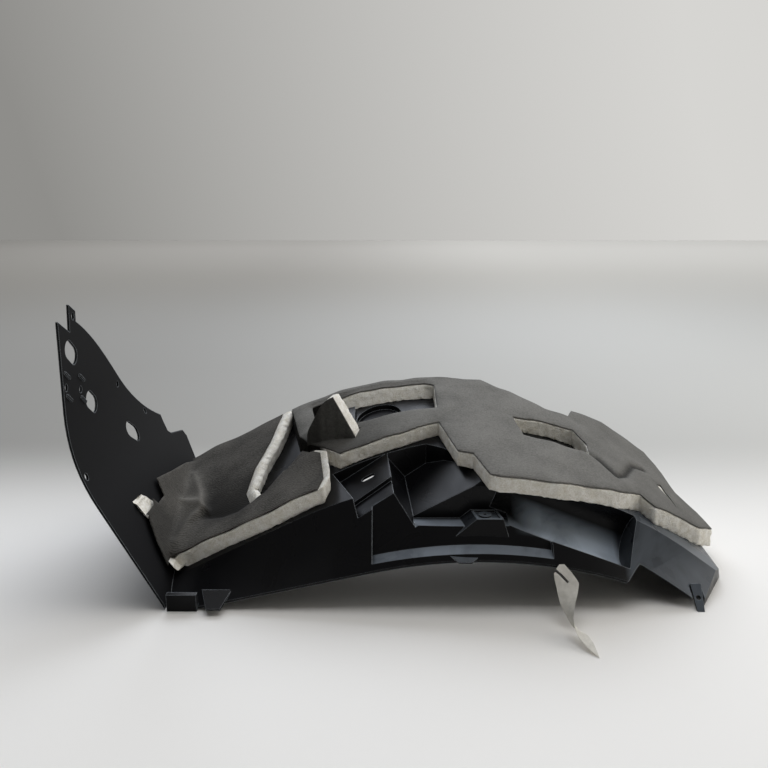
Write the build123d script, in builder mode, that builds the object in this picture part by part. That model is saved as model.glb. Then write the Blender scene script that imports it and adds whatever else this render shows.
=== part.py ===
"""Front wheel arch liner: a moulded arch with an upright front flap, dressed with sound absorbing pads.

The liner lies as it rests on a table: the outer lip that meets the wing faces -Y, the inboard wall +Y,
the flap stands at -X, and the table is z = 0. All sizes are in millimetres. It is modelled about the
near contact line, and every piece is moved at the end so that the origin is under its middle.
"""

import math
import os

from build123d import *

# Overall form
wall = 2.5                  # moulded wall of the liner
depth = 262.0               # outer lip to inboard face
base_cut = 60.0             # how far the construction blocks reach below the table
sky = 260.0                 # height that every upward cut clears

# Side profile of the outer lip: a straight leg, a round crown, a straight leg
lip_x = 95.0
lip_height = 54.5
lip_radius = 480.0
lip_left_deg = 12.5
lip_right_deg = 18.0

# Side profile of the crown, which leans up towards the inboard side
crown_x = 85.0
crown_height = 118.0
crown_radius = 395.0
crown_left_deg = 26.5
crown_right_deg = 36.0
crown_front = 46.0          # depth at which the crown begins
crown_rise = 43.0           # how much higher the crown is at the inboard wall
crown_drift = -20.0         # how far its top moves sideways on the way there

# A slanting panel joins the lip to the crown. In its middle a flange is let in along the lip
panel_deg = 58.0            # mean slope of the panel, which sets the offset of its inside
flange_left_x = -12.0
flange_right_x = 168.0
flange_depth = 16.0
flange_edge_share = 0.06    # height of its near edge, as a share of the way from lip to crown
flange_share = 0.14         # the same for its far edge
flange_lap = 3.0            # the steeper panel behind it meets the crown this far back

# Right end: the lip stops short, and a block with a slanting corner goes on
end_x = 364.0               # foot of the end wall
end_lean_deg = 22.0
lip_end_x = 240.0
block_corner_x = 318.0      # the slanting corner starts here at the lip
block_corner_depth = 68.0   # and meets the end wall here
opening_x = 258.0           # the panel is cut away below a slope from this corner
opening_rise = 41.5
opening_end_z = 11.0        # to this height beside the tab
opening_depth = 20.0

# Trough behind the lip, beside the clip tower
trough_start_x = 118.0
trough_end_x = 255.0
trough_radius = 30.0
trough_depth = 30.0         # depth of its axis
trough_start_z = 115.0
trough_end_z = 61.0

# Clip tower on the ledge: a box that narrows upwards, with a rim around a boss on its top
tower_foot = 66.0
tower_height = 88.0
tower_foot_x = (67.0, 126.5)            # left and right corner of its near face
tower_top_x = (93.0, 120.0)
tower_front = 20.0
tower_back = 52.0
tower_set_back = 2.0        # its near face leans back this far
tower_skew = 0.17           # its sides run to the left by this share of their depth
tower_rim = 2.5
tower_dish = 2.0            # depth of its top inside the rim
boss_place = (102.7, 35.0)
boss_diameter = 13.0
tower_hole = 4.0

# Stepped pocket cut into the crown: three sloping floors, given where they cross crown_front
pocket_slope_deg = 28.0
terrace_height = 106.0      # floor heights at x = 0
shelf_height = 101.0
floor_height = 65.0
terrace_front_left = 48.0   # depth of the terrace's front edge at the left wall
terrace_front_right = 70.0  # and at the ramp
ledge_height = 79.0         # level ledge in front of the deep floor
pocket_split_x = 10.0       # the terrace and shelf lie to the left, the floor to the right
pocket_ramp = 20.0          # length of the ramp from the shelf down to the floor
pocket_left_x = -56.0
pocket_left_lean = 44.0     # the left wall runs this far to the right on its way to the lip
pocket_left_depth = 103.0
pocket_back_x = 47.0
pocket_back_depth = 126.0
pocket_notch = (67.0, 114.0)            # corner between the back and the right wall
pocket_right_x = 106.0
pocket_right_depth = 66.0
terrace_hole_x = -17.0
terrace_hole_depth = 88.0

# Round recess and bead in the crown
recess_x = -6.0
recess_depth = 204.0
recess_diameter = 54.0
recess_drop = 6.0
bead_x = -40.0
bead_width = 8.0
bead_height = 5.0
bead_front = 180.0
bead_back = 232.0

# Inboard wall: what stays around its cut-out
rim_height = 46.0
rim_left_x = -150.0
rim_right_x = 265.0

# Front flap
flap_foot_x = -219.0
flap_lean_deg = 28.0
flap_upright_x = -301.0
flap_bend = 200.0
flap_height = 302.0
flap_reach = 290.0          # furthest inboard point
flap_shoulder = (5.0, 290.0)            # depth and height of its corners
flap_notch = (30.0, 276.0)
flap_tip = (33.0, flap_height)
tip_width = 14.0
flap_sweep = [(46.0, 284.0), (83.5, 261.0), (147.0, 207.0), (249.0, 131.0)]
flap_step = (244.0, 111.0)
flap_bulge = [(250.0, 106.0), (288.0, 98.0), (flap_reach, 90.0), (273.0, 60.0)]
tip_slope = 8.0
clip_holes = [(9.0, 227.0), (42.0, 217.0), (40.0, 290.0), (8.0, 138.5), (144.5, 197.0), (207.0, 148.0)]
barred_holes = 2            # the first of these have raised bars above and below
ports = [(28.0, 257.0), (66.0, 198.0), (150.0, 140.0)]
hole_diameter = 7.0
port_length = 30.0
port_width = 18.0
port_turn_deg = -38.0
bar_length = 13.0
bar_width = 2.5
bar_height = 1.5
bar_offset = 11.0

# Fixing tab at the right end, and the lugs at the foot of the flap
tab_x = 310.5
tab_width = 11.0
tab_foot_width = 7.0
tab_top_depth = 14.0        # the tab leans forward from here
tab_height = 18.0           # under a panel that is cut away below this height
tab_foot = -4.0             # to here on the table
tab_lap = 2.5               # how far it reaches up into the panel
tab_clearance = 1.5         # beside it
tab_hole_share = 0.5        # how far up the tab its hole is
tab_hole = 5.0
lug_length = 30.0
lug_pitch = 33.0
lug_height = 18.0
lug_thickness = 6.0
lug_overhang = 3.0          # how far the first lug stands out from the lip
plate_height = 17.0         # the second is a plate that slants down in front of the lip
plate_lap = 10.0            # how far it starts behind the lip
plate_reach = 12.0
plate_drop = 9.0
plate_foot_length = 14.0
catch_x = 80.0              # small catch that slants down from the flange
catch_length = 33.0
catch_foot_length = 13.0
catch_drop = 5.0
catch_reach = 3.0
catch_lap = 4.0             # how far it starts behind the lip

# Pads
pad_gap = 0.25              # between a pad and the moulding
core_thickness = 17.0
bond_gap = 0.1
facing_thickness = 1.0
turned_thickness = 4.0      # the front pad is pressed thinner where it turns up the flap
pad_front = 10.0            # depth from which a pad may start
pad_back = 258.0            # where the pads stop, short of the inboard edge
pad_end = end_x + 0.75 * base_cut       # the pads are cut from blocks that reach past the end wall

# Pad outlines seen from above
front_pad_slot = [(-148, 104), (-156, 123), (-151, 160), (-139, 203), (-130, pad_back)]
front_pad_outline = [(-300, pad_back), (-300, 54), (-167, 55), (-118, 52)]
front_pad_end = [(-69, 55), (-64, 74), (-71, 122)]
front_pad_tail = [(-94, 148), (-111, 122), (-131, 97)]
front_pad_spread = 7.0      # its core stands out this far beyond the facing at that end and in the slot
front_pad_rise = [(54, 0), (41, 25), (48, 47), (64, 73), (62, 94), (70, 92), (78, 72), (92, 72), (97, 90),
                  (168, 83), (230, 74), (pad_back, 68), (pad_back, 0)]     # depth and height on the flap
crown_pad_outline = [(-48, 108), (18, 124), (62, 143), (66, 126), (78, 78), (94, 72), (106, 33),
                     (116, 29), (176, 32), (244, 53), (272, 72), (284, 59), (346, 88), (374, 120),
                     (366, 146), (346, 164), (345, 232), (338, pad_back), (280, pad_back), (236, 242),
                     (226, 216), (197, 216), (145, 242), (122, pad_back), (-118, pad_back), (-100, 180),
                     (-84, 150), (-66, 130)]
pad_window = [(-72, 146), (-37, 163), (62, 176), (62, 235), (-90, 235)]
pad_slit = [(150, 168), (155, 124), (190, 122), (217, 119), (229, 122), (233, 150), (222, 175),
            (185, 172)]
facing_slit = [(313, 137), (321, 147), (324, 101)]      # small cut in the facing that shows the core

# Tongue of pad that stands up at the corner of the window
tongue_start = (-63.7, 162.4)           # its back seen from above
tongue_end = (-26.7, 150.2)
tongue_thickness = 17.0
# Distance along its back and height, from its left foot to its tip
tongue_outline = [(-20.0, 132.0), (-18.5, 141.0), (-13.0, 152.0), (-2.0, 172.0), (12.5, 182.5)]
tongue_right_z = 140.0      # height of its right edge

# Paper tag: places along its middle, and the turn of its width from the x axis, hooked on the lip
tag_thickness = 0.5
tag_width = 17.0
tag_places = [(172.0, -0.7, 44.0), (174.0, -18.0, 28.0), (179.0, -46.0, 9.5), (191.0, -84.0, 1.0)]
tag_turns_deg = [0.0, 10.0, 35.0, 18.0]


def rad(degrees):
    return math.radians(degrees)


def side_plane(y):
    """Upright plane across the liner at depth y: sketch x runs along the car, sketch y upwards."""
    return Plane(origin=(0, y, 0), x_dir=(1, 0, 0), z_dir=(0, -1, 0))


def crown_shift(y):
    """How far the crown has moved sideways and up at depth y."""
    share = (y - crown_front) / (depth - crown_front)
    return crown_drift * share, crown_rise * share


def crown_profile(y):
    """Apex, radius and leg angles of the crown at depth y."""
    dx, dz = crown_shift(y)
    return crown_x + dx, crown_height + dz, crown_radius, crown_left_deg, crown_right_deg


def step_profile(share):
    """Profile between the lip (0) and the front of the crown (1)."""
    lip = (lip_x, lip_height, lip_radius, lip_left_deg, lip_right_deg)
    return tuple(a + (b - a) * share for a, b in zip(lip, crown_profile(crown_front)))


def arch_section(y, profile, grow):
    """Closed section under the arch at depth y, grown outwards by grow."""
    apex_x, apex_z, radius, left_deg, right_deg = profile
    left, right = rad(left_deg), rad(right_deg)
    r = radius + grow
    mid_z = apex_z - radius
    left_end = (apex_x - r * math.sin(left), mid_z + r * math.cos(left))
    right_end = (apex_x + r * math.sin(right), mid_z + r * math.cos(right))
    left_foot = (left_end[0] - (left_end[1] + base_cut) / math.tan(left), -base_cut)
    right_foot = (right_end[0] + (right_end[1] + base_cut) / math.tan(right), -base_cut)
    with BuildSketch(side_plane(y)) as section:
        with BuildLine():
            Line(left_foot, left_end)
            ThreePointArc(left_end, (apex_x, apex_z + grow), right_end)
            Polyline(right_end, right_foot, left_foot)
        make_face()
    return section.sketch


def right_of_end(end, grow):
    """Everything beyond the leaning end wall whose foot is at x = end, moved outwards by grow."""
    lean = rad(end_lean_deg)
    foot = end + grow / math.cos(lean)
    far = end + 4 * depth
    return side_prism([(foot + base_cut * math.tan(lean), -base_cut), (foot - sky * math.tan(lean), sky),
                       (far, sky), (far, -base_cut)], -depth, 2 * depth)


def arch_block(stations, grow, end=end_x):
    """Solid under the arch through stations of depth and profile, up to its end wall."""
    with BuildPart() as block:
        loft([arch_section(y, profile, grow).face() for y, profile in stations], ruled=True)
        add(right_of_end(end, grow), mode=Mode.SUBTRACT)
    return block.part


def crown_block(front, back, grow, end=end_x):
    """Solid under the crown alone, between two depths."""
    return arch_block([(front, crown_profile(front)), (back, crown_profile(back))], grow, end)


def plan_prism(points, grow=0.0, floor=-base_cut):
    """Upright prism over an outline seen from above."""
    with BuildPart() as prism:
        with BuildSketch(Plane.XY.offset(floor)):
            with BuildLine():
                Polyline(*points, close=True)
            make_face()
            if grow:
                offset(amount=grow, kind=Kind.INTERSECTION)
        extrude(amount=flap_height + sky - floor)
    return prism.part


def lean_prism(points, front, back, grow=0.0):
    """Prism over an outline in side view that follows the lean of the crown between two depths."""
    dx, dz = crown_shift(front)
    ex, ez = crown_shift(back)
    with BuildPart() as prism:
        faces = []
        for y, sx, sz in ((front, dx, dz), (back, ex, ez)):
            with BuildSketch(side_plane(y)) as section:
                with BuildLine():
                    Polyline(*[(x + sx, z + sz) for x, z in points], close=True)
                make_face()
                if grow:
                    offset(amount=grow, kind=Kind.INTERSECTION)
            faces.append(section.sketch.face())
        loft(faces, ruled=True)
    return prism.part


def side_prism(points, front, back, grow=0.0):
    """Prism over an outline in side view, straight from one depth to another."""
    with BuildPart() as prism:
        with BuildSketch(side_plane(front)):
            with BuildLine():
                Polyline(*points, close=True)
            make_face()
            if grow:
                offset(amount=grow, kind=Kind.INTERSECTION)
        extrude(amount=front - back)
    return prism.part


def flap_path(shift):
    """Corners and bend radius of the flap's side view, moved towards the arch by shift."""
    lean = rad(flap_lean_deg)
    foot = flap_foot_x + shift / math.cos(lean)
    upright = flap_upright_x + shift
    bend_z = (foot - upright) / math.tan(lean)
    low = (foot + base_cut * math.tan(lean), -base_cut)
    return [low, (upright, bend_z), (upright, flap_height + sky)], flap_bend - shift


def left_of_flap(shift):
    """Everything on the outer side of the flap's face, moved towards the arch by shift."""
    corners, radius = flap_path(shift)
    far = flap_upright_x - depth
    with BuildPart() as side:
        with BuildSketch(side_plane(-depth)):
            with BuildLine():
                path = FilletPolyline(*corners, radius=radius)
                Polyline(path @ 1, (far, flap_height + sky), (far, -base_cut), path @ 0)
            make_face()
        extrude(amount=-3 * depth)
    return side.part


def pocket_volume(grow):
    """What the stepped pocket takes out of the crown, grown by a wall for the inside of the moulding."""
    slope = math.tan(rad(pocket_slope_deg))
    left, right = pocket_left_x - crown_front, pocket_right_x + crown_front
    front_left_x = pocket_left_x + pocket_left_lean
    far = pocket_back_depth + wall

    def above(height, x0, x1):
        return [(x0, height + x0 * slope), (x1, height + x1 * slope), (x1, sky), (x0, sky)]

    plan = plan_prism(
        [(front_left_x, 0), (pocket_left_x, pocket_left_depth), (pocket_back_x, pocket_back_depth),
         pocket_notch, (pocket_right_x, pocket_right_depth), (pocket_right_x, 0)], grow)
    shelf_plan = plan_prism([(pocket_left_x, 0), (pocket_left_x, terrace_front_left),
                             (pocket_split_x, terrace_front_right), (pocket_split_x, 0)], grow)
    with BuildPart() as shelf:
        add(lean_prism(above(shelf_height, left, pocket_split_x), 0, far, grow))
        add(shelf_plan, mode=Mode.INTERSECT)
    with BuildPart() as pocket:
        add(lean_prism(above(terrace_height, left, pocket_split_x), 0, far, grow))
        add(shelf.part)
        floor = above(floor_height, pocket_split_x + pocket_ramp, right)[:-1]
        ramp = [(pocket_split_x, sky), (pocket_split_x, shelf_height + pocket_split_x * slope)]
        add(lean_prism(floor + ramp, 0, far, grow))
        add(plan, mode=Mode.INTERSECT)
    return pocket.part


def ledge_volume(grow):
    """What is taken away above the level ledge in front of the deep floor, as far as the trough."""
    left, right = pocket_split_x + pocket_ramp, tower_foot_x[1]
    return side_prism([(left, ledge_height), (right, ledge_height), (right, sky), (left, sky)],
                      -depth, crown_front + grow, grow)


def trough_volume(grow):
    """Round channel sloping down beside the lip."""
    start = Vector(trough_start_x - grow, trough_depth, trough_start_z)
    end = Vector(trough_end_x + grow, trough_depth, trough_end_z)
    with BuildPart() as trough:
        with BuildSketch(Plane(start, x_dir=(0, 1, 0), z_dir=end - start)):
            Circle(trough_radius + grow)
        extrude(amount=(end - start).length)
    return trough.part


def tower_section(z, near, left, right, inset, back=tower_back):
    """Level section of the clip tower, drawn in by inset."""
    shift = tower_skew * (back - near)
    with BuildSketch(Plane.XY.offset(z)) as section:
        with BuildLine():
            Polyline((left, near), (right, near), (right - shift, back), (left - shift, back), close=True)
        make_face()
        if inset:
            offset(amount=-inset, kind=Kind.INTERSECTION)
    return section.sketch


def tower_volume(inset):
    """Tapered box of the clip tower, drawn in by inset for its hollow."""
    with BuildPart() as tower:
        loft([tower_section(tower_foot, tower_front, *tower_foot_x, inset).face(),
              tower_section(tower_height, tower_front + tower_set_back, *tower_top_x, inset).face()])
        if inset:
            with Locations((0, 0, tower_height - tower_dish - inset)):
                Box(6 * end_x, 6 * depth, sky, align=(Align.CENTER, Align.CENTER, Align.MIN),
                    mode=Mode.SUBTRACT)
    return tower.part


def tower_dish_volume():
    """Dish in the top of the clip tower, around its boss."""
    with BuildPart() as dish:
        extrude(tower_section(tower_height, tower_front + tower_set_back, *tower_top_x, tower_rim,
                              back=crown_front), amount=-tower_dish)
        with BuildSketch(Plane.XY.offset(tower_height - tower_dish)):
            with Locations(boss_place):
                Circle(boss_diameter / 2)
        extrude(amount=tower_dish, mode=Mode.SUBTRACT)
    return dish.part


def flange_volume(grow):
    """What is taken away above the flange in the middle of the lip, and from the panel behind it."""
    step = grow * math.tan(rad(panel_deg / 2))
    back = crown_front + flange_lap + step
    edge = step_profile(flange_edge_share)
    stations = [(-2 * depth, edge), (step, edge), (flange_depth + step, step_profile(flange_share)),
                (back, crown_profile(back))]
    with BuildPart() as notch:
        add(side_prism([(flange_left_x - grow, -base_cut / 2), (flange_right_x + grow, -base_cut / 2),
                        (flange_right_x + grow, sky), (flange_left_x - grow, sky)], -depth, back))
        add(arch_block(stations, -grow), mode=Mode.SUBTRACT)
    return notch.part


def recess_volume(grow):
    """Round dish in the top of the crown."""
    with BuildPart() as recess:
        with BuildSketch(Plane.XY):
            with Locations((recess_x, recess_depth)):
                Circle(recess_diameter / 2 + grow)
        extrude(amount=sky)
        add(crown_block(0, depth, -recess_drop - grow), mode=Mode.SUBTRACT)
    return recess.part


def corner_outline():
    """Plan outline of what the right end leaves free in front of its slanting corner."""
    far = end_x + depth
    return [(block_corner_x, -depth), (block_corner_x, 0), (end_x, block_corner_depth),
            (far, block_corner_depth), (far, -depth)]


def moulding_block(inside):
    """Outside of the moulding, or the space inside it."""
    inset = wall if inside else 0.0
    step = inset * math.tan(rad(panel_deg / 2))
    stations = [(step, step_profile(0)), (crown_front + step, crown_profile(crown_front + step)),
                (depth - inset, crown_profile(depth - inset))]
    if inside:
        stations.insert(0, (-crown_front, step_profile(0)))
    with BuildPart() as block:
        add(arch_block(stations, -inset))
        add(flange_volume(inset), mode=Mode.SUBTRACT)
        add(trough_volume(inset), mode=Mode.SUBTRACT)
        add(pocket_volume(inset), mode=Mode.SUBTRACT)
        add(ledge_volume(inset), mode=Mode.SUBTRACT)
        add(tower_volume(inset))
        add(recess_volume(inset), mode=Mode.SUBTRACT)
        add(plan_prism(corner_outline(), inset), mode=Mode.SUBTRACT)
        add(left_of_flap(inset), mode=Mode.SUBTRACT)
    return block.part


def across_prism(points, x0, x1):
    """Prism over an outline of depth and height, from one x to another."""
    with BuildPart() as prism:
        with BuildSketch(Plane.YZ.offset(x0)):
            with BuildLine():
                Polyline(*points, close=True)
            make_face()
        extrude(amount=x1 - x0)
    return prism.part


def flap_sheet(shift, thickness):
    """Endless sheet that follows the flap, starting shift away from its outer face."""
    with BuildPart() as sheet:
        add(left_of_flap(shift + thickness))
        add(left_of_flap(shift), mode=Mode.SUBTRACT)
    return sheet.part


def flap_cutter(outline):
    """Cutter along x through the flap, over a sketch of depth and height."""
    with BuildPart() as cutter:
        extrude(outline, amount=flap_bend + flap_foot_x - flap_upright_x)
    return cutter.part


flap_view = Plane.YZ.offset(flap_upright_x - flap_bend)


def flap_outline():
    """Trapezoid of the flap with its notched tip, its swept edge and the bulge towards the arch."""
    with BuildSketch(flap_view) as outline:
        with BuildLine():
            Polyline((depth, -base_cut), (0, -base_cut), (0, flap_height / 2), flap_shoulder, flap_notch,
                     flap_tip, (flap_tip[0] + tip_width, flap_tip[1] - tip_slope), flap_sweep[0])
            Spline(*flap_sweep)
            Line(flap_sweep[-1], flap_step)
            Polyline(flap_step, *flap_bulge)
            Line(flap_bulge[-1], (depth, -base_cut))
        make_face()
    return outline.sketch


def flap_openings():
    """Round clip holes, and the oblong ports that run with the swept edge."""
    with BuildSketch(flap_view) as openings:
        with Locations(*clip_holes):
            Circle(hole_diameter / 2)
        with Locations(*ports):
            SlotOverall(port_length, port_width, rotation=port_turn_deg)
    return openings.sketch


def clip_bars():
    """Raised bars above and below the clip holes near the free edge."""
    with BuildSketch(flap_view) as bars:
        for y, z in clip_holes[:barred_holes]:
            middle = y + hole_diameter / 2
            with Locations((middle, z + bar_offset), (middle, z - bar_offset)):
                Rectangle(bar_length, bar_width, rotation=port_turn_deg)
    return bars.sketch


def flap_panel():
    """The flap itself with its outline, openings and raised bars."""
    with BuildPart() as panel:
        add(flap_sheet(0, wall))
        add(flap_cutter(flap_outline()), mode=Mode.INTERSECT)
    with BuildPart() as bars:
        add(flap_sheet(wall, bar_height))
        add(flap_cutter(clip_bars()), mode=Mode.INTERSECT)
    return panel.part, bars.part


def end_opening():
    """What is cut from the panel of the end block so that the wheel opening runs on under it."""
    reach = lip_end_x - lip_x
    lip_tip = lip_height - lip_radius + math.sqrt(lip_radius ** 2 - reach ** 2) - wall
    slit_x, tab_side_x = tab_x - tab_clearance, tab_x + tab_width + tab_clearance
    return side_prism([(lip_end_x, -base_cut), (lip_end_x, lip_tip), (opening_x, opening_rise),
                       (slit_x, opening_end_z), (slit_x, tab_height), (tab_side_x, tab_height),
                       (tab_side_x, -base_cut)], -crown_front, opening_depth)


def rim_cutout():
    """Arched cut-out of the inboard wall."""
    with BuildPart() as cutout:
        add(crown_block(depth - 2 * wall, depth + 2 * wall, -rim_height))
        add(plan_prism([(rim_left_x, 0), (rim_right_x, 0), (rim_right_x, 2 * depth),
                        (rim_left_x, 2 * depth)]), mode=Mode.INTERSECT)
    return cutout.part


def bead():
    """Raised rib on the crown beside the round dish."""
    with BuildPart() as rib:
        add(crown_block(bead_front, bead_back, bead_height))
        half = bead_width / 2
        add(plan_prism([(bead_x - half, 0), (bead_x + half, 0), (bead_x + half, depth),
                        (bead_x - half, depth)]), mode=Mode.INTERSECT)
        add(crown_block(0, depth, -wall / 2), mode=Mode.SUBTRACT)
    return rib.part


def slanting_plate(x, top_depth, top_z, foot_depth, foot_z, top_length, foot_length):
    """Plate that slants down towards the lip's side, with its top edge centred on x and a narrower foot."""
    run = Vector(0, foot_depth - top_depth, foot_z - top_z)
    place = Plane(origin=(x, top_depth, top_z), x_dir=(1, 0, 0), z_dir=run.cross(Vector(1, 0, 0)))
    with BuildPart() as plate:
        with BuildSketch(place):
            with BuildLine():
                Polyline((-top_length / 2, 0), (top_length / 2, 0), (foot_length / 2, -run.length),
                         (-foot_length / 2, -run.length), close=True)
            make_face()
        extrude(amount=-wall)
    return plate.part


def tab_plane():
    """Plane of the tab at its hole."""
    run = Vector(0, tab_top_depth + tab_lap - tab_foot, tab_height + tab_lap)
    centre = Vector(tab_x + tab_width / 2, tab_foot, 0) + run * tab_hole_share
    return Plane(origin=centre, x_dir=(1, 0, 0), z_dir=Vector(1, 0, 0).cross(run))


def table():
    """Everything under the table top."""
    with BuildPart() as under:
        Box(6 * end_x, 6 * depth, 2 * base_cut, align=(Align.CENTER, Align.CENTER, Align.MAX))
    return under.part


# The moulding: outside less inside, then the flap and the small features
flap, flap_bars = flap_panel()
with BuildPart() as liner_shell:
    add(moulding_block(inside=False))
    add(moulding_block(inside=True), mode=Mode.SUBTRACT)
    add(flap)
    add(flap_bars)
    add(bead())
    add(rim_cutout(), mode=Mode.SUBTRACT)
    add(end_opening(), mode=Mode.SUBTRACT)
    # Fixing tab in front of the end block, lugs at the foot of the flap, catch on the flange
    add(slanting_plate(tab_x + tab_width / 2, tab_top_depth + tab_lap, tab_height + tab_lap, tab_foot, 0,
                       tab_width, tab_foot_width))
    with Locations((flap_foot_x + wall, -lug_overhang, 0)):
        Box(lug_length, lug_thickness, lug_height, align=(Align.MIN, Align.MIN, Align.MIN))
    plate_x = flap_foot_x + wall + lug_pitch + lug_length / 2
    add(slanting_plate(plate_x, plate_lap, plate_height, -plate_reach, plate_height - plate_drop,
                       lug_length, plate_foot_length))
    catch_top = step_profile(flange_edge_share)[1]
    add(slanting_plate(catch_x, catch_lap, catch_top, -catch_reach, catch_top - catch_drop,
                       catch_length, catch_foot_length))
    # Openings and the dish of the tower
    add(tower_dish_volume(), mode=Mode.SUBTRACT)
    add(flap_cutter(flap_openings()), mode=Mode.SUBTRACT)
    with BuildSketch(tab_plane()):
        Circle(tab_hole / 2)
    extrude(amount=2 * wall, both=True, mode=Mode.SUBTRACT)
    with BuildSketch(Plane.XY.offset(crown_height)):
        with Locations((terrace_hole_x, terrace_hole_depth)):
            SlotOverall(2 * hole_diameter, hole_diameter)
        with Locations(boss_place):
            Circle(tower_hole / 2)
    extrude(amount=lip_height - crown_height, mode=Mode.SUBTRACT)
    add(table(), mode=Mode.SUBTRACT)


def front_pad_region(height, spread=0.0):
    """Pad space over the front leg and up the flap, to a height above the moulding."""
    slot = [(x + spread, y) for x, y in front_pad_slot]
    end = [(x + spread, y) for x, y in front_pad_end]
    with BuildPart() as over_leg:
        add(crown_block(pad_front, depth, height, end=pad_end))
        add(plan_prism(slot + front_pad_outline + end + front_pad_tail), mode=Mode.INTERSECT)
    with BuildPart() as up_flap:
        add(flap_sheet(0, wall + height - core_thickness + turned_thickness))
        add(across_prism(front_pad_rise, 2 * flap_upright_x, lip_x), mode=Mode.INTERSECT)
    return over_leg.part, up_flap.part


def crown_pad_region(height):
    """Pad space over the crown and the rear leg, with its window and slit."""
    with BuildPart() as over_crown:
        add(crown_block(pad_front, depth, height, end=pad_end))
        add(plan_prism(crown_pad_outline), mode=Mode.INTERSECT)
        add(plan_prism(pad_window), mode=Mode.SUBTRACT)
        add(plan_prism(pad_slit), mode=Mode.SUBTRACT)
    return over_crown.part


def tongue(near, far):
    """Tongue of pad that stands on the window's edge, from near to far in front of it."""
    start, end = Vector(*tongue_start), Vector(*tongue_end)
    along = (end - start).normalized()
    towards = along.cross(Vector(0, 0, 1))
    run = (end - start).length
    with BuildPart() as slab:
        with BuildSketch(Plane(origin=start + towards * near, x_dir=along, z_dir=towards)):
            with BuildLine():
                Polyline((run, tongue_right_z), (run, 0), (tongue_outline[0][0], 0), tongue_outline[0])
                Spline(*tongue_outline)
                Line(tongue_outline[-1], (run, tongue_right_z))
            make_face()
        extrude(amount=far - near)
    return slab.part


def tongue_foot(near, far, grow):
    """Upright prism over the foot of the tongue, from near to far in front of it and longer by grow."""
    start, end = Vector(*tongue_start), Vector(*tongue_end)
    along = (end - start).normalized()
    towards = along.cross(Vector(0, 0, 1))
    left = start + along * (tongue_outline[0][0] - grow)
    right = end + along * grow
    corners = [left + towards * near, right + towards * near, right + towards * far, left + towards * far]
    return plan_prism([(corner.X, corner.Y) for corner in corners])


core_top = pad_gap + core_thickness
facing_foot = core_top + bond_gap
facing_top = facing_foot + facing_thickness

with BuildPart() as front_pad_core:
    add(front_pad_region(core_top, front_pad_spread))
    add(crown_block(0, depth, pad_gap, end=pad_end), mode=Mode.SUBTRACT)
    add(left_of_flap(wall + pad_gap), mode=Mode.SUBTRACT)

with BuildPart() as front_pad_facing:
    add(front_pad_region(facing_top))
    add(crown_block(0, depth, facing_foot, end=pad_end), mode=Mode.SUBTRACT)
    add(left_of_flap(wall + facing_foot - core_thickness + turned_thickness), mode=Mode.SUBTRACT)

with BuildPart() as crown_pad_core:
    add(crown_pad_region(core_top))
    add(tongue(0, tongue_thickness))
    add(crown_block(0, depth, pad_gap, end=pad_end), mode=Mode.SUBTRACT)

tongue_face = tongue_thickness + bond_gap
with BuildPart() as crown_pad_facing:
    add(crown_pad_region(facing_top))
    add(tongue_foot(-bond_gap, tongue_face, bond_gap), mode=Mode.SUBTRACT)
    add(tongue(tongue_face, tongue_face + facing_thickness))
    add(crown_block(0, depth, facing_foot, end=pad_end), mode=Mode.SUBTRACT)
    add(plan_prism(facing_slit), mode=Mode.SUBTRACT)

with BuildPart() as paper_tag:
    places = [Vector(*place) for place in tag_places]
    stations = []
    for index, turn in enumerate(tag_turns_deg):
        run = places[min(index + 1, len(places) - 1)] - places[max(index - 1, 0)]
        across = Vector(1, 0, 0).rotate(Axis.Z, turn)
        flat = across - run * (across.dot(run) / run.dot(run))
        with BuildSketch(Plane(origin=places[index], x_dir=flat, z_dir=run)) as station:
            Rectangle(tag_width, tag_thickness)
        stations.append(station.sketch.face())
    loft(stations)

pieces = {"liner_shell": liner_shell, "front_pad_core": front_pad_core,
          "front_pad_facing": front_pad_facing, "crown_pad_core": crown_pad_core,
          "crown_pad_facing": crown_pad_facing, "paper_tag": paper_tag}
os.makedirs("parts", exist_ok=True)
box = Compound([piece.part for piece in pieces.values()]).bounding_box()
to_origin = Location((-box.center().X, -box.center().Y, -box.min.Z))
for name, piece in pieces.items():
    placed = piece.part.moved(to_origin)
    placed.label = name
    export_step(placed, f"parts/{name}.step")
print("origin moved by", to_origin.position)
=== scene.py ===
# %% [markdown]
# A front wheel arch liner, dressed for its portrait.
# The moulding, its pads and a paper tag arrive as exact solids in one shared frame, in metres.
# This lesson gives each of them its finish: the black moulding keeps its solid and gets a plastic,
# and the soft pads and the paper are modelled again, because felt and wadding are never as flat as a solid.

# %% Load the frame
import math

import bmesh
import bpy
from mathutils import Matrix, Vector, noise
from mathutils.bvhtree import BVHTree
from mathutils.kdtree import KDTree


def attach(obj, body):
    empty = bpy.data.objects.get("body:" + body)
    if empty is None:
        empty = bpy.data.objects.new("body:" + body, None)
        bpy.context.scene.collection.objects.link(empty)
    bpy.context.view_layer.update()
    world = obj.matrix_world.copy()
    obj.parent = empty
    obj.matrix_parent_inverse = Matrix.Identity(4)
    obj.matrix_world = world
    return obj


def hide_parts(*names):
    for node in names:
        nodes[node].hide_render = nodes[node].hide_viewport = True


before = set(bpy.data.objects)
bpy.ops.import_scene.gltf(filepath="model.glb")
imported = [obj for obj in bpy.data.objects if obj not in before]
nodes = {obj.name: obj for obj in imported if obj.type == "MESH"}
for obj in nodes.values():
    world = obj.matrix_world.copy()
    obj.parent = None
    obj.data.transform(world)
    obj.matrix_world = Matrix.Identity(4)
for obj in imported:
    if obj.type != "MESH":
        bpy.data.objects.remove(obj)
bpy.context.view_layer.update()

mm = 0.001
print("nodes:", ", ".join(sorted(nodes)))

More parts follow.
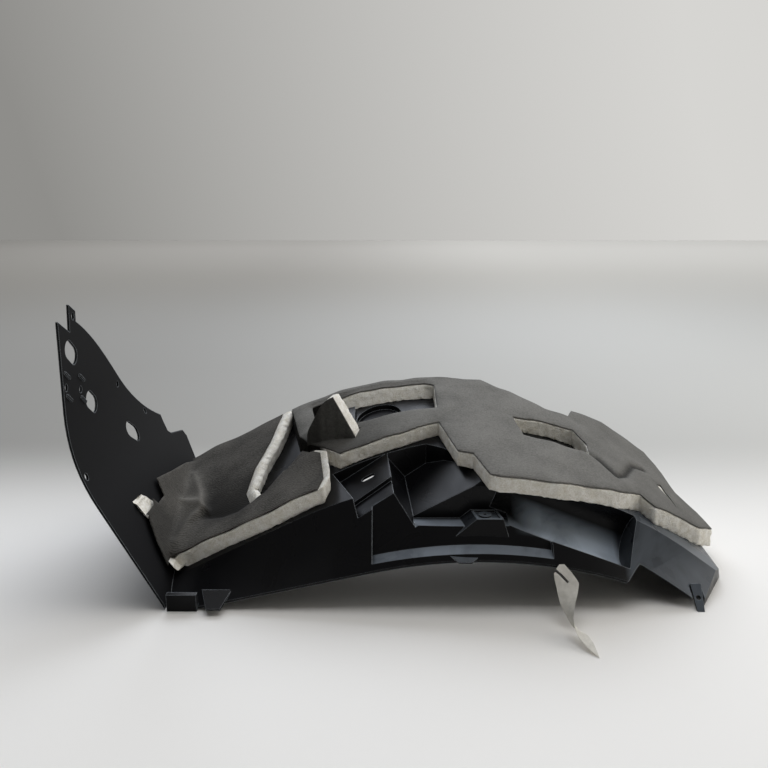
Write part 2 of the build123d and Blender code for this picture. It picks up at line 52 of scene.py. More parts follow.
# %% [markdown]
# The camera stands where the photographer stood: a little above the liner, square to its outer lip and
# tipped down by fourteen degrees. A 36 mm lens on a 36 mm sensor gives the phone's field of view.

# %% Camera
camera_place = Vector((-36.5, -792.2, 405.1)) * mm
camera_tip_deg = 14.0
lens_mm = sensor_mm = 36.0
camera = bpy.data.objects.new("camera", bpy.data.cameras.new("camera"))
camera.data.lens = lens_mm
camera.data.sensor_width = sensor_mm
camera.location = camera_place
camera.rotation_euler = (math.radians(90.0 - camera_tip_deg), 0.0, 0.0)
bpy.context.scene.collection.objects.link(camera)
bpy.context.scene.camera = camera
print("camera at", tuple(round(c, 3) for c in camera.location))

# %% [markdown]
# A few small helpers serve every finish. One turns the hex colour a paint chart gives into the linear numbers
# that the renderer adds up. One adds a shader node with its settings and its links in one call. The others
# start a material and put it on an object.

# %% Colour and node helpers


def linear(hex_colour):
    """Linear RGBA of an sRGB hex colour."""
    channels = [int(hex_colour[i:i + 2], 16) / 255 for i in (1, 3, 5)]
    return [c / 12.92 if c <= 0.04045 else ((c + 0.055) / 1.055) ** 2.4 for c in channels] + [1.0]


def node(tree, kind, inputs=None, **settings):
    """Adds a node. An input is named or numbered, and takes a value or another node's output."""
    made = tree.nodes.new(kind)
    for name, value in settings.items():
        setattr(made, name, value)
    for socket, value in (inputs or {}).items():
        if isinstance(value, bpy.types.NodeSocket):
            tree.links.new(value, made.inputs[socket])
        else:
            made.inputs[socket].default_value = value
    return made


def new_material(name):
    """An empty node material, and the tree to fill."""
    material = bpy.data.materials.new(name)
    material.use_nodes = True
    material.node_tree.nodes.clear()
    return material, material.node_tree


def dress(obj, material):
    """Gives an object this material in place of what it has."""
    obj.data.materials.clear()
    obj.data.materials.append(material)


print("white is", [round(c, 2) for c in linear("#ffffff")])

# %% [markdown]
# The moulding is black polypropylene, injection moulded and left as it came out of the mould. Dust has settled
# on it, and a bluish sheen of the light on its upward faces is painted in with the dust as one pale film: thin
# on the flange behind the lip, thick in the round trough to its right, and a trace on the end block. A film could
# be painted by hand. Here each is a product of bounds along and across the liner and of how far the surface
# faces up, because numbers like these can be corrected one at a time.

# %% Dust and painted sheen on the moulding
tilt_bounds = {                 # upward part of the normal where a film starts, and where it is full
    "level": (0.74, 0.9),
    "leaning": (0.2, 0.75),
}
place_bounds = {                # axis, where a film starts and where it is full in mm, and how full that is
    "flange_depth": ("Y", -56.0, -64.0, 1.0),
    "flange_length": ("X", -50.0, -44.0, 0.34),
    "trough_front": ("Y", -80.0, -74.0, 1.0),
    "trough_back": ("Y", -36.0, -44.0, 1.0),
    "trough_left": ("X", 95.0, 125.0, 1.0),
    "trough_right": ("X", 212.0, 204.0, 1.0),
    "end_block": ("X", 204.0, 212.0, 0.2),
}
films = [("level", "flange_depth", "flange_length"),
         ("trough_front", "leaning", "trough_back", "trough_left", "trough_right"),
         ("leaning", "end_block")]


def dust_and_sheen_film(tree, place, normal):
    """How full the film of dust and painted sheen is at a place on the moulding."""
    where = node(tree, "ShaderNodeSeparateXYZ", {"Vector": place})
    tilt = node(tree, "ShaderNodeSeparateXYZ", {"Vector": normal}).outputs["Z"]
    shares = {}
    for name, (start, full) in tilt_bounds.items():
        shares[name] = node(tree, "ShaderNodeMapRange", {"Value": tilt, "From Min": start, "From Max": full})
    for name, (axis, start, full, most) in place_bounds.items():
        shares[name] = node(tree, "ShaderNodeMapRange", {"Value": where.outputs[axis], "From Min": start * mm,
                                                         "From Max": full * mm, "To Max": most})
    filled = []
    for first, *others in films:
        film = shares[first].outputs["Result"]
        for name in others:
            film = node(tree, "ShaderNodeMath", {0: film, 1: shares[name].outputs["Result"]},
                        operation="MULTIPLY").outputs["Value"]
        filled.append(film)
    fullest = filled[0]
    for film in filled[1:]:
        fullest = node(tree, "ShaderNodeMath", {0: fullest, 1: film}, operation="MAXIMUM").outputs["Value"]
    return fullest


print("dust lies in", len(films), "films")

# %% [markdown]
# Under the dust and painted sheen, the eye gets a near-black body, a satin gloss that turns bluish under the light,
# faint smears where it was handled, and thin pale lines along its edges, which are painted highlights. The flap is
# etched with a fine grain and is duller. The Bevel node finds the edges: where its rounded normal leaves the flat
# one, a painted highlight is mixed into the colour.

# %% Black polypropylene
smear_size = 60 * mm
grain_size = 0.9 * mm           # drawn coarser than the etching, so that it shows
grain_depth = 0.1 * mm
grained_left_of = -230 * mm
grained_fade = 20 * mm
satin_rough = (0.22, 0.4)
grained_rough = 0.7
edge_round = 1.3 * mm
# how pale the painted highlight along the edges gets at most
most_edge_highlight = 0.75
least_dust_and_sheen = 0.65               # the film is this full where a hand has wiped it


def black_polypropylene():
    material, tree = new_material("black_polypropylene")
    place = node(tree, "ShaderNodeTexCoord").outputs["Object"]
    normal = node(tree, "ShaderNodeNewGeometry").outputs["Normal"]
    smear = node(tree, "ShaderNodeTexNoise", {"Vector": place, "Scale": 1 / smear_size, "Detail": 5.0,
                                              "Distortion": 1.2}).outputs["Fac"]
    along = node(tree, "ShaderNodeSeparateXYZ", {"Vector": place}).outputs["X"]
    grained = node(tree, "ShaderNodeMapRange", {"Value": along, "From Min": grained_left_of,
                                                "From Max": grained_left_of - grained_fade})
    gloss = node(tree, "ShaderNodeMapRange", {"Value": smear, "From Min": 0.3, "From Max": 0.7,
                                              "To Min": satin_rough[0], "To Max": satin_rough[1]})
    rough = node(tree, "ShaderNodeMix", {"Factor": grained.outputs["Result"], "A": gloss.outputs["Result"],
                                         "B": grained_rough})
    grain = node(tree, "ShaderNodeTexNoise", {"Vector": place, "Scale": 1 / grain_size, "Detail": 2.0})
    rounded = node(tree, "ShaderNodeBevel", {"Radius": edge_round}, samples=6).outputs["Normal"]
    bump = node(tree, "ShaderNodeBump", {"Height": grain.outputs["Fac"], "Strength": 0.12,
                                         "Distance": grain_depth, "Normal": rounded})
    # painted highlight: the edges are painted pale where the rounded normal leaves the flat one
    level = node(tree, "ShaderNodeVectorMath", {0: rounded, 1: normal}, operation="DOT_PRODUCT")
    edge_highlight = node(tree, "ShaderNodeMapRange", {"Value": level.outputs["Value"], "From Min": 0.97,
                                               "From Max": 0.75, "To Max": most_edge_highlight})
    blotch = node(tree, "ShaderNodeMapRange", {"Value": smear, "From Min": 0.38, "From Max": 0.56,
                                               "To Min": least_dust_and_sheen})
    # dust, with a bluish sheen of the light painted in as the same pale film
    dust_and_sheen = node(tree, "ShaderNodeMath", {0: dust_and_sheen_film(tree, place, normal), 1: blotch.outputs["Result"]},
                operation="MULTIPLY")
    dusty_sheen = node(tree, "ShaderNodeMix", {"Factor": dust_and_sheen.outputs["Value"], "A": linear("#0c0c0e"),
                                         "B": linear("#b2bdc9")}, data_type="RGBA")
    tone = node(tree, "ShaderNodeMix", {"Factor": edge_highlight.outputs["Result"], "A": dusty_sheen.outputs["Result"],
                                        "B": linear("#a3a9ae")}, data_type="RGBA")
    body = node(tree, "ShaderNodeBsdfPrincipled", {"Base Color": tone.outputs["Result"], "IOR": 1.49,
                                                   "Roughness": rough.outputs["Result"],
                                                   "Specular IOR Level": 0.13,
                                                   "Normal": bump.outputs["Normal"]})
    node(tree, "ShaderNodeOutputMaterial", {"Surface": body.outputs["BSDF"]})
    return material


dress(nodes["liner_shell"], black_polypropylene())
print("liner_shell is black polypropylene")

# %% [markdown]
# The pads are fibre wadding under a thin nonwoven. Wadding is white and fluffy: a soft, cloudy colour and a
# bump of tangled fibres, with no gloss. Where its mesh marks painted shade, it is painted as dark as the
# shaded facing over it.

# %% Fibre wadding
fibre_size = 2.2 * mm           # a tangle of fibres, as a single one is too fine to show
fibre_rise = 1.2 * mm
tuft_size = 9 * mm
# painted shade: the near-black of shaded creases and hollows on the felt, and of hidden wadding
painted_shade_dark = "#181715"


def fibre_wadding():
    material, tree = new_material("fibre_wadding")
    place = node(tree, "ShaderNodeTexCoord").outputs["Object"]
    tuft = node(tree, "ShaderNodeTexNoise", {"Vector": place, "Scale": 1 / tuft_size, "Detail": 6.0,
                                             "Roughness": 0.65})
    fibre = node(tree, "ShaderNodeTexNoise", {"Vector": place, "Scale": 1 / fibre_size, "Detail": 4.0,
                                              "Distortion": 1.5})
    fluff = node(tree, "ShaderNodeMath", {0: tuft.outputs["Fac"], 1: fibre.outputs["Fac"]})
    cloud = node(tree, "ShaderNodeMapRange", {"Value": fluff.outputs["Value"], "From Min": 0.6,
                                              "From Max": 1.25})
    tone = node(tree, "ShaderNodeMix", {"Factor": cloud.outputs["Result"], "A": linear("#cfc8b5"),
                                        "B": linear("#f9f7f1")}, data_type="RGBA")
    # painted shade on the wadding, where its mesh marks it
    wadding_shade = node(tree, "ShaderNodeAttribute", attribute_name="wadding_shade").outputs["Fac"]
    seen = node(tree, "ShaderNodeMix", {"Factor": wadding_shade, "A": tone.outputs["Result"],
                                        "B": linear(painted_shade_dark)}, data_type="RGBA")
    bump = node(tree, "ShaderNodeBump", {"Height": fibre.outputs["Fac"], "Strength": 1.0,
                                         "Distance": fibre_rise})
    body = node(tree, "ShaderNodeBsdfPrincipled", {"Base Color": seen.outputs["Result"], "Roughness": 1.0,
                                                   "Specular IOR Level": 0.1,
                                                   "Normal": bump.outputs["Normal"]})
    node(tree, "ShaderNodeOutputMaterial", {"Surface": body.outputs["BSDF"]})
    return material


wadding = fibre_wadding()
print("made", wadding.name)

# %% [markdown]
# The nonwoven is grey and mottled, with faint ribs from the roller that bonded it. They run along the arch.
# Light and shade of its relief are painted on it: a painted highlight on its ridges and painted shade in its
# hollows, from the relief height that its mesh carries, and painted shade nearly black in its deepest creases
# and other shaded places, which the mesh marks too.

# %% Nonwoven
rib_pitch = 2.6 * mm
rib_turn_deg = 96.0
wave_at_scale_1 = 0.314         # the wave texture repeats after this length at a scale of 1
mottle_size = 2.2 * mm
patch_size = 28 * mm
patch_share = 0.5
weave_rise = 0.7 * mm
# relief heights at which the painted shade and the painted highlight are full
shade_full_mm, light_full_mm = -9.0, 7.0


def nonwoven(name, dark, light, rib_share):
    """Bonded fabric between two greys, with a share of ribs that run along the arch."""
    material, tree = new_material(name)
    place = node(tree, "ShaderNodeTexCoord").outputs["Object"]
    turned = node(tree, "ShaderNodeMapping", {"Vector": place, "Rotation": (0, 0, math.radians(rib_turn_deg))})
    ribs = node(tree, "ShaderNodeTexWave", {"Vector": turned.outputs["Vector"],
                                            "Scale": wave_at_scale_1 / rib_pitch, "Distortion": 6.0,
                                            "Detail": 3.0, "Detail Scale": 1.5})
    mottle = node(tree, "ShaderNodeTexNoise", {"Vector": place, "Scale": 1 / mottle_size, "Detail": 5.0,
                                               "Roughness": 0.7})
    patch = node(tree, "ShaderNodeTexNoise", {"Vector": place, "Scale": 1 / patch_size, "Detail": 3.0})
    weave = node(tree, "ShaderNodeMath", {0: ribs.outputs["Fac"], 1: rib_share, 2: mottle.outputs["Fac"]},
                 operation="MULTIPLY_ADD")
    cloud = node(tree, "ShaderNodeMath", {0: patch.outputs["Fac"], 1: patch_share, 2: weave.outputs["Value"]},
                 operation="MULTIPLY_ADD")
    # painted light and shade from the relief height: paler on ridges, darker in hollows
    relief_shading = node(tree, "ShaderNodeAttribute", attribute_name="relief_shading").outputs["Fac"]
    relief_tone = node(tree, "ShaderNodeMapRange", {"Value": relief_shading, "From Min": shade_full_mm, "From Max": light_full_mm,
                                             "To Min": -0.6, "To Max": 0.5})
    shifted = node(tree, "ShaderNodeMath", {0: cloud.outputs["Value"], 1: relief_tone.outputs["Result"]})
    shade = node(tree, "ShaderNodeMapRange", {"Value": shifted.outputs["Value"], "From Min": 0.58,
                                              "From Max": 1.48})
    tone = node(tree, "ShaderNodeMix", {"Factor": shade.outputs["Result"], "A": linear(dark),
                                        "B": linear(light)}, data_type="RGBA")
    # painted shade, where the mesh marks it
    painted_shade = node(tree, "ShaderNodeAttribute", attribute_name="painted_shade").outputs["Fac"]
    shaded_tone = node(tree, "ShaderNodeMix", {"Factor": painted_shade, "A": tone.outputs["Result"],
                                        "B": linear(painted_shade_dark)}, data_type="RGBA")
    bump = node(tree, "ShaderNodeBump", {"Height": weave.outputs["Value"], "Strength": 0.7,
                                         "Distance": weave_rise})
    body = node(tree, "ShaderNodeBsdfPrincipled", {"Base Color": shaded_tone.outputs["Result"], "Roughness": 0.9,
                                                   "Specular IOR Level": 0.25,
                                                   "Normal": bump.outputs["Normal"]})
    node(tree, "ShaderNodeOutputMaterial", {"Surface": body.outputs["BSDF"]})
    return material


# The front pad's felt gets darker greys than the crown pad's: partly its own tone, and partly painted shade, since
# it faces away from the light while the crown pad faces towards it.
dark_nonwoven = nonwoven("dark_nonwoven", "#272522", "#6b6862", 0.34)
grey_nonwoven = nonwoven("grey_nonwoven", "#5a5955", "#8d8b86", 0.16)
print("made", dark_nonwoven.name, "and", grey_nonwoven.name)

# %% [markdown]
# The flap leans back from its foot. How far a place lies from it tells which part of the front pad is turned
# up against it, so that distance comes first. It is in millimetres, as are all places on the pads below.

# %% Distance from the flap
flap_foot_x = -252.7
flap_lean = math.radians(28.0)
flap_normal = Vector((math.cos(flap_lean), 0.0, math.sin(flap_lean)))
turned_gap = 9.0                # what lies closer to the flap than this belongs to the turned-up part


def flap_gap(place):
    """How far a place lies from the flap, in millimetres."""
    return (place / mm - Vector((flap_foot_x, 0.0, 0.0))).dot(flap_normal)


print("the middle of the liner lies", round(flap_gap(Vector())), "mm from the flap")

# %% [markdown]
# A pad's facing starts as the solid's own thin sheet. Subdividing would only halve its long triangles, so it is
# welded and then cut along evenly spaced planes. That gives it enough points to be pushed into creases.

# %% Welding and dicing
dice_pitch = 3 * mm
weld_reach = 0.01 * mm
cut_reach = 0.001 * mm


def welded(name):
    """A solid's mesh with its split corners welded, ready to edit."""
    mesh = bmesh.new()
    mesh.from_mesh(nodes[name].data)
    bmesh.ops.remove_doubles(mesh, verts=mesh.verts, dist=weld_reach)
    return mesh


def dice(mesh, axis, pitch):
    """Cuts every face along evenly spaced planes across one axis."""
    low = min(v.co[axis] for v in mesh.verts)
    high = max(v.co[axis] for v in mesh.verts)
    across = Vector([1.0 if i == axis else 0.0 for i in range(3)])
    for step in range(1, int((high - low) / pitch) + 1):
        everything = mesh.verts[:] + mesh.edges[:] + mesh.faces[:]
        bmesh.ops.bisect_plane(mesh, geom=everything, dist=cut_reach, plane_co=across * (low + step * pitch),
                               plane_no=across)


def diced(name):
    """A solid's welded mesh, cut into small squares."""
    mesh = welded(name)
    for axis in range(3):
        dice(mesh, axis, dice_pitch)
    return mesh


print("pads are cut every", round(dice_pitch / mm), "mm")

# %% [markdown]
# Creases follow lines that are drawn on a pad as seen from above, and its outline stays calm. So two distances
# are needed: from a drawn line, and from the cut walls around a sheet, which a search tree holds.

# %% Distances
square_tilt = 0.02              # a wall's normal leans less than this
just_inside = 0.05 * mm
sheet_reach = 2 * mm            # the far side of a facing is closer than this


def outline_tree(mesh):
    """Places around the outline of a thin sheet: on its cut walls, which stand upright or across the flap."""
    sheet = BVHTree.FromBMesh(mesh)
    rim = set()
    for face in mesh.faces:
        middle = face.calc_center_median()
        inside = middle - face.normal * just_inside
        solid_behind = sheet.ray_cast(inside, -face.normal, sheet_reach)[0] is None
        upright = abs(face.normal.z) < square_tilt
        across_flap = abs(face.normal.x) < square_tilt and flap_gap(middle) < turned_gap
        if solid_behind or upright or across_flap:
            rim.update(face.verts)
    tree = KDTree(len(rim))
    for index, v in enumerate(rim):
        tree.insert(v.co, index)
    tree.balance()
    return tree


def nearest_on(line, x, y):
    """Distance from a polyline seen from above, negative to its right, and the share of the way along it."""
    best = (1e9, 1.0, 0.0)
    for index, ((x0, y0), (x1, y1)) in enumerate(zip(line, line[1:])):
        dx, dy = x1 - x0, y1 - y0
        share = min(max(((x - x0) * dx + (y - y0) * dy) / (dx * dx + dy * dy), 0.0), 1.0)
        away = math.hypot(x - x0 - share * dx, y - y0 - share * dy)
        if away < best[0]:
            side = math.copysign(1.0, dx * (y - y0) - dy * (x - x0))
            best = (away, side, (index + share) / (len(line) - 1))
    return best[0] * best[1], best[2]


def smooth_step(low, high, value):
    """0 at low, 1 at high, and a smooth way between them."""
    share = min(max((value - low) / (high - low), 0.0), 1.0)
    return share * share * (3 - 2 * share)


print("a point 3 left of a line:", nearest_on([(0, 0), (10, 0)], 5, 3))

# %% [markdown]
# The front pad has been bent into the corner between the arch and the flap, and it shows: from a dimple near
# the corner a valley runs to the slot and a ridge runs back, with smaller creases beside them. A cloth
# simulation would choose its own creases, so these are drawn as lines, each with a height and a width.

# %% Relief of the front pad
front_dimple = (-240.0, 17.0)
front_valley = [front_dimple, (-231.0, 8.0), (-213.0, -1.0), (-197.0, -3.0), (-186.0, 2.0)]
front_ridge = [front_dimple, (-256.0, 63.0), (-273.0, 106.0)]
front_crest = [front_dimple, (-270.0, 46.0)]
front_fold = [front_dimple, (-257.0, -1.0), (-262.0, -31.0)]
valley_drop, valley_left, valley_right = 12.0, 34.0, 12.0      # depth, and width on either side of its line
ridge_rise, ridge_width, ridge_loss = 7.0, 6.0, 0.6            # the ridge loses this share on its way back
crest_rise, crest_width = 5.5, 6.0
fold_rise, fold_width = 4.0, 7.0
fold_sides = (-3.0, 9.0)
edge_drop, edge_width = 1.0, 5.0
front_wave = (1.2, 38.0, 1.0)           # height, size and seed of slow waves
front_frill = (1.8, 30.0, 5.0, 22.0)    # the same for waves at the outline, and how far in they reach
line_round = 2.0


def ripple(x, y, size, seed):
    """Smooth bumps between -1 and 1 with the given size."""
    return noise.noise((x / size, y / size, seed))


def waves(x, y, edge, slow, frill):
    """Height of slow waves all over a pad, and of a frill at its outline."""
    rise, size, seed = slow
    height = rise * ripple(x, y, size, seed)
    rise, size, seed, reach = frill
    return height + rise * ripple(x, y, size, seed) * math.exp(-edge / reach)


def crest(away, width):
    """1 on a line, falling with the distance from it, and round at its top."""
    return math.exp(-(math.hypot(away, line_round) - line_round) / width)


def right_of_fold(x, y):
    """0 left of the line that the fold and the ridge make, and 1 right of it."""
    return smooth_step(*fold_sides, -nearest_on(front_fold[::-1] + front_ridge[1:], x, y)[0])


def front_relief(x, y, edge):
    """How far the front pad's facing lies above its solid at a place, edge away from its outline."""
    valley, _ = nearest_on(front_valley, x, y)
    ridge, along = nearest_on(front_ridge, x, y)
    fold, down = nearest_on(front_fold, x, y)
    height = -valley_drop * crest(valley, valley_left if valley > 0 else valley_right) * right_of_fold(x, y)
    height += ridge_rise * crest(ridge, ridge_width) * smooth_step(0.0, 0.25, along) * (1.0 - ridge_loss * along)
    height += crest_rise * crest(nearest_on(front_crest, x, y)[0], crest_width)
    height += fold_rise * crest(fold, fold_width) * smooth_step(0.0, 0.3, down)
    height -= edge_drop * math.exp(-edge / edge_width)
    return height + waves(x, y, edge, front_wave, front_frill)


print("relief in the valley:", round(front_relief(*front_valley[1], 40.0), 1), "mm")

# %% [markdown]
# The crown pad lies flatter. It has one fold near its right end, and the wall behind its window leans back.

# %% Relief of the crown pad
crown_fold = [(195.0, 20.0), (203.0, 12.0), (215.0, -12.0), (227.0, 0.0), (250.0, 45.0), (267.0, 57.0)]
groove_drop, groove_width = 5.0, 3.5
swell_rise, swell_width = 2.5, 16.0
crown_wave = (1.0, 45.0, 9.0)
crown_frill = (1.6, 26.0, 3.0, 14.0)
window_back_y = 133.3
window_lean = 9.0
window_left, window_right = (-140.0, -125.0), (26.0, 12.0)     # the lean comes in between these
window_lip, window_fade = 3.0, 20.0                            # before and behind the wall


def crown_relief(x, y, edge):
    """How far the crown pad's facing lies above its solid."""
    fold, _ = nearest_on(crown_fold, x, y)
    height = -groove_drop * crest(fold, groove_width) + swell_rise * crest(fold, swell_width)
    return height + waves(x, y, edge, crown_wave, crown_frill) - edge_drop * math.exp(-edge / edge_width)


def lean_window(x, y):
    """How far back the top of the wall behind the crown pad's window leans."""
    along = smooth_step(*window_left, x) * smooth_step(*window_right, x)
    onset = smooth_step(window_back_y - window_lip, window_back_y, y)
    fade = smooth_step(window_back_y + window_fade, window_back_y, y)
    return window_lean * along * onset * fade


print("relief in the crown's fold:", round(crown_relief(*crown_fold[2], 40.0), 1), "mm")

# %% [markdown]
# Shade is painted onto the felt where it falls: in creases and hollows, and where a neighbour shades it. Each
# pad has its own painted shade: the front pad in its valley and at the front of its turned-up part, the crown pad
# along its fold and at its two ends.

# %% Painted shade on the pads
bowl_dark, bowl_left, bowl_right = 0.9, 22.0, 4.0              # how dark, and width on either side of the valley
turn_dark, turn_x, turn_y = 0.55, (-250.0, -264.0), (20.0, -12.0)
fold_dark, fold_dark_width, fold_start = 0.9, 2.6, 0.1
left_dark, left_x, left_y = 0.75, (-98.0, -112.0), (80.0, 62.0)
strip_dark, strip_x, strip_y = 0.55, (15.0, -80.0), (84.0, 72.0)
right_dark, right_x = 0.25, (120.0, 260.0)


def front_painted_shade(x, y):
    """Painted shade on the front pad's facing: darkest along its valley, and dark at its front where it turns up
    the flap.
    """
    valley, _ = nearest_on(front_valley, x, y)
    bowl = bowl_dark * crest(valley, bowl_left if valley > 0 else bowl_right) * right_of_fold(x, y)
    front_turn = turn_dark * smooth_step(*turn_x, x) * smooth_step(*turn_y, y)
    return max(bowl, front_turn)


def crown_painted_shade(x, y):
    """Painted shade on the crown pad's facing: along its fold, at both ends, and on the strip in front of its
    window.
    """
    fold, along = nearest_on(crown_fold, x, y)
    groove = fold_dark * crest(fold, fold_dark_width) * smooth_step(0.0, fold_start, along)
    left_end = left_dark * smooth_step(*left_x, x) * smooth_step(*left_y, y)
    window_strip = strip_dark * smooth_step(*strip_x, x) * smooth_step(*strip_y, y)
    return max(groove, left_end, window_strip, right_dark * smooth_step(*right_x, x))


print("darkness in the valley:", round(front_painted_shade(*front_valley[1]), 2))

# %% [markdown]
# Where the front pad turns up the flap, its solid has a sharp corner. Felt can't: the sheet is smoothed there,
# with its outline held still. The notch in its upper edge is pulled open a little further back, and at the
# upper front corner the facing has drawn back, so that the wadding shows there alone.

# %% Corner of the front pad
corner_reach = 34.0
corner_rounds = 80
rim_reach = 0.5 * mm
corner_y, corner_z = -57.0, 31.8        # depth and height at which the corner starts
corner_climb, facing_climb = 0.12, 0.194
corner_turn, facing_turn = (-3.0, 5.0), (2.0, 16.0)     # heights above the corner where the pad turns up
facing_gaps = (16.0, 9.0)
notch_pull = [(-40.0, -40.0), (-31.7, -14.0), (-4.7, 30.0), (70.0, 70.0)]   # depths before and after
notch_z = (52.0, 68.0)
bare_z, bare_y = (70.0, 76.0), (-6.0, -10.0)
bare_from_z = 72.0
draw_share = 0.85


def remap(value, pairs):
    """Value moved along a broken line through pairs of before and after."""
    for (a0, b0), (a1, b1) in zip(pairs, pairs[1:]):
        if a0 <= value <= a1:
            return b0 + (b1 - b0) * (value - a0) / (a1 - a0)
    return value


def pull_notch(place):
    """A place after the notch in the turned-up edge has been pulled back."""
    x, y, z = place / mm
    share = smooth_step(*notch_z, z) if flap_gap(place) < turned_gap else 0.0
    return Vector((x, y + (remap(y, notch_pull) - y) * share, z)) * mm


def bare_corner(place):
    """1 at the upper front corner, where the wadding shows, and 0 elsewhere."""
    if flap_gap(place) > turned_gap:
        return 0.0
    return smooth_step(*bare_z, place.z / mm) * smooth_step(*bare_y, place.y / mm)


def draw_back(place):
    """A place on the facing after it has drawn back from that corner."""
    x, y, z = place / mm
    drawn = (z - bare_from_z) * bare_corner(place) * draw_share
    return Vector((x + drawn * math.tan(flap_lean), y, z - drawn)) * mm


def above_corner(place, climb):
    """Height of a place above the corner, which climbs towards the back."""
    return place.z / mm - (corner_z + climb * (place.y / mm - corner_y))


def turned_up_share(place):
    """1 on the part of the pad that lies against the flap above the corner, and 0 over the leg."""
    return smooth_step(*corner_turn, above_corner(place, corner_climb)) if flap_gap(place) < turned_gap else 0.0


def on_flap(place):
    """The same for the softened facing, whose corner stands further off the flap."""
    return smooth_step(*facing_turn, above_corner(place, facing_climb)) * smooth_step(*facing_gaps, flap_gap(place))


def soften_corner(mesh, rim):
    """Rounds the sheet where it turns up."""
    inner = [v for v in mesh.verts if flap_gap(v.co) < corner_reach and rim.find(v.co)[2] > rim_reach]
    for _ in range(corner_rounds):
        bmesh.ops.smooth_vert(mesh, verts=inner, factor=0.5, use_axis_x=True, use_axis_y=True, use_axis_z=True)
    print("corner smoothed at", len(inner), "points")


print("the notch is pulled back", round(remap(-4.7, notch_pull) + 4.7, 1), "mm")

# %% [markdown]
# Now the facings themselves: each point moves straight up or down by the relief, and hardly at all on the flap.
# Every soft piece is finished alike: it rides with the liner and stands for the solid that it was made from.

# %% Facings
sharp_from_deg = 50.0
flap_calm = 0.9                 # share of the relief that is lost on the flap


def finish_piece(mesh, name, material, replaced):
    """Makes the object, lets it ride with the liner and stand for the solid it was made from."""
    data = bpy.data.meshes.new(name)
    bmesh.ops.recalc_face_normals(mesh, faces=mesh.faces)
    mesh.to_mesh(data)
    mesh.free()
    data.shade_smooth()
    data.set_sharp_from_angle(angle=math.radians(sharp_from_deg))
    obj = bpy.data.objects.new(name, data)
    bpy.context.scene.collection.objects.link(obj)
    dress(obj, material)
    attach(obj, "root")
    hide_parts(replaced)
    print(name, len(data.polygons), "faces")


def facing(name, relief, shade_at, material, turned_up):
    """Makes a pad's facing, and returns the search tree of its outline."""
    mesh = diced(name)
    relief_shading = mesh.verts.layers.float.new("relief_shading")
    painted_shade = mesh.verts.layers.float.new("painted_shade")
    if turned_up:
        for v in mesh.verts:
            v.co = draw_back(pull_notch(v.co))
    rim = outline_tree(mesh)
    if turned_up:
        soften_corner(mesh, rim)
    for v in mesh.verts:
        x, y, _ = v.co / mm
        # the relief height moves the point, and the nonwoven paints light and shade from it
        v[relief_shading] = relief(x, y, rim.find(v.co)[2] / mm)
        if turned_up:
            v[relief_shading] *= 1.0 - flap_calm * on_flap(v.co)
        # painted shade, as each pad's map gives it
        v[painted_shade] = shade_at(x, y)
        v.co.y += lean_window(x, y) * mm
        v.co.z += v[relief_shading] * mm
    finish_piece(mesh, name.replace("facing", "nonwoven"), material, name)
    return rim


front_rim = facing("front_pad_facing", front_relief, front_painted_shade, dark_nonwoven, True)
crown_rim = facing("crown_pad_facing", crown_relief, crown_painted_shade, grey_nonwoven, False)

# %% [markdown]
# The wadding keeps the crisp cut edges of its solid. Its top follows the facing, less and less towards the
# moulding, and its cut walls get tufts, most of all along their ragged lower edge. Two places need more: the
# left end of the front wall stops short of the flap, and what lies behind the turned-up facing is pressed flat.

# %% Moves of the wadding
wall_stand = 0.3                # the wadding stands out this far beyond the facing
slot_stand = 7.0                # and this much further on the left side of the front pad's slot
slot_x = (-150.0, -160.0)
tuft_rise = 0.9
coarse_tuft, fine_tuft, fine_share = 7, 3, 0.5
ragged_foot, foot_shares = 1.3, (0.35, 0.0)
under_facing, under_slope, top_shares = 0.8, 0.15, (0.8, 1.0)
foot_gap_top, foot_gap_low = 8.5, 10.5  # the front wall's left end keeps this far from the flap
foot_x, foot_z, foot_climb = -253.9, 19.4, 0.587        # a place on its lower edge, and how steeply that climbs
foot_top_z = 28.0
foot_reach = 16.0               # what lies further from the flap than this is left as it is
foot_y, foot_heights = (-20.0, -34.0), (42.0, 34.0)
turned_middle = Vector((-268.0, 45.0, 40.0))
turned_inset, inset_width = 15.0, 12.0
pressed_share = 0.97


def tufts_at(x, y, z):
    """Coarse tufts with finer ones on them."""
    coarse = noise.noise((x / coarse_tuft, y / coarse_tuft, z / coarse_tuft))
    return coarse + fine_share * noise.noise((x / fine_tuft, y / fine_tuft, z / fine_tuft))


def fluffed(place, out, up, height):
    """Move of a place on the wadding: with the facing at its top, outwards on its walls, ragged at its foot."""
    x, y, z = place / mm
    tufts = tufts_at(x, y, z)
    lift = height * up - (under_facing + under_slope * abs(height)) * smooth_step(*top_shares, up)
    lift += ragged_foot * tufts * smooth_step(*foot_shares, up)
    slot = slot_stand * max(out.x, 0.0) ** 2 * smooth_step(*slot_x, x)
    return Vector((0, 0, lift)) + out * (wall_stand + slot + tuft_rise * tufts)


def short_of_flap(place, up):
    """Move that keeps the front wall's left end off the flap, and the share of it that holds at a place."""
    x, y, z = place / mm
    gap = flap_gap(place)
    share = smooth_step(*foot_y, y) * smooth_step(foot_reach, foot_gap_top, gap) * smooth_step(*foot_heights, z)
    short = foot_gap_top + (foot_gap_low - foot_gap_top) * (1.0 - up) - gap
    end_x = x + max(short, 0.0) / flap_normal.x
    end_z = min(max(z, foot_z + foot_climb * (end_x - foot_x)), foot_top_z)
    return Vector((end_x - x, 0.0, end_z - z)), share


def pressed_flat(place, shifted, edge):
    """Move that presses a place flat on the flap and draws it in from the outline."""
    inward = turned_middle - shifted / mm
    inward = (inward - flap_normal * inward.dot(flap_normal)).normalized()
    return inward * turned_inset * math.exp(-edge / inset_width) - pressed_share * flap_gap(place) * flap_normal


